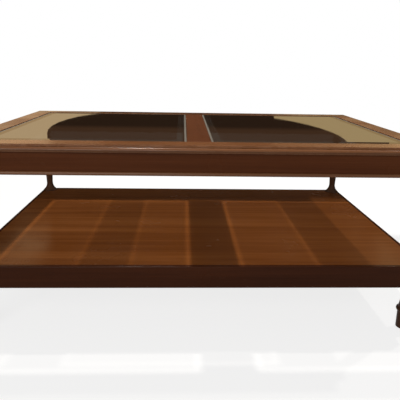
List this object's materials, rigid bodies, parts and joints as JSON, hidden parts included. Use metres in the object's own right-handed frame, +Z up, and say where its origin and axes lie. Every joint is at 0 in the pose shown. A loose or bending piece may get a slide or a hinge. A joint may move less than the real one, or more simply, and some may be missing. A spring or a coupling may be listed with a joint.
{
  "type": "coffee table",
  "caption": "Low rectangular two-tier coffee table with a moulded wooden top frame, bevelled lift-out glass panes, beaded apron, turned posts, deep-edged shelf and turned feet.",
  "frame": {"origin": "on the floor, under the middle of the table", "axes": "+X along the length, to the right seen from the front; +Y from front to back; +Z up"},
  "size_m": [1.118, 0.711, 0.467],
  "materials": {
    "lacquered_wood": "glossy reddish brown lacquer",
    "shelf_veneer": "glossy reddish brown veneer",
    "inner_wood": "unfinished",
    "clear_glass": "clear, bevelled",
    "clear_pads": "clear soft plastic",
    "zinc_steel": "zinc plated",
    "glide_steel": "nickel plated"
  },
  "bodies": {
    "table": {"apron_back": "lacquered_wood", "apron_bead_back": "lacquered_wood", "apron_bead_front": "lacquered_wood", "apron_bead_left": "lacquered_wood", "apron_bead_right": "lacquered_wood", "apron_front": "lacquered_wood", "apron_left": "lacquered_wood", "apron_right": "lacquered_wood", "bearer_screws": "zinc_steel", "brace_screws": "zinc_steel", "centre_dowels": "inner_wood", "corner_brace_back_left": "inner_wood", "corner_brace_back_right": "inner_wood", "corner_brace_front_left": "inner_wood", "corner_brace_front_right": "inner_wood", "foot_back_left": "lacquered_wood", "foot_back_right": "lacquered_wood", "foot_front_left": "lacquered_wood", "foot_front_right": "lacquered_wood", "foot_glides": "glide_steel", "glass_pads": "clear_pads", "leg_studs": "zinc_steel", "mitre_tongues": "inner_wood", "post_back_left": "lacquered_wood", "post_back_right": "lacquered_wood", "post_front_left": "lacquered_wood", "post_front_right": "lacquered_wood", "shelf_bearer": "inner_wood", "shelf_block_back_left": "inner_wood", "shelf_block_back_right": "inner_wood", "shelf_block_front_left": "inner_wood", "shelf_block_front_right": "inner_wood", "shelf_panel": "shelf_veneer", "shelf_rail_back": "lacquered_wood", "shelf_rail_front": "lacquered_wood", "shelf_rail_left": "lacquered_wood", "shelf_rail_right": "lacquered_wood", "top_rail_back": "lacquered_wood", "top_rail_centre": "lacquered_wood", "top_rail_front": "lacquered_wood", "top_rail_left": "lacquered_wood", "top_rail_right": "lacquered_wood"},
    "left_pane": {"glass_pane_left": "clear_glass"},
    "right_pane": {"glass_pane_right": "clear_glass"}
  },
  "joints": [
    {"name": "left_pane_lift", "type": "slide", "parent": "table", "child": "left_pane", "axis": [0, 0, 1], "range_m": [0, 0.15]},
    {"name": "right_pane_lift", "type": "slide", "parent": "table", "child": "right_pane", "axis": [0, 0, 1], "range_m": [0, 0.15]}
  ]
}
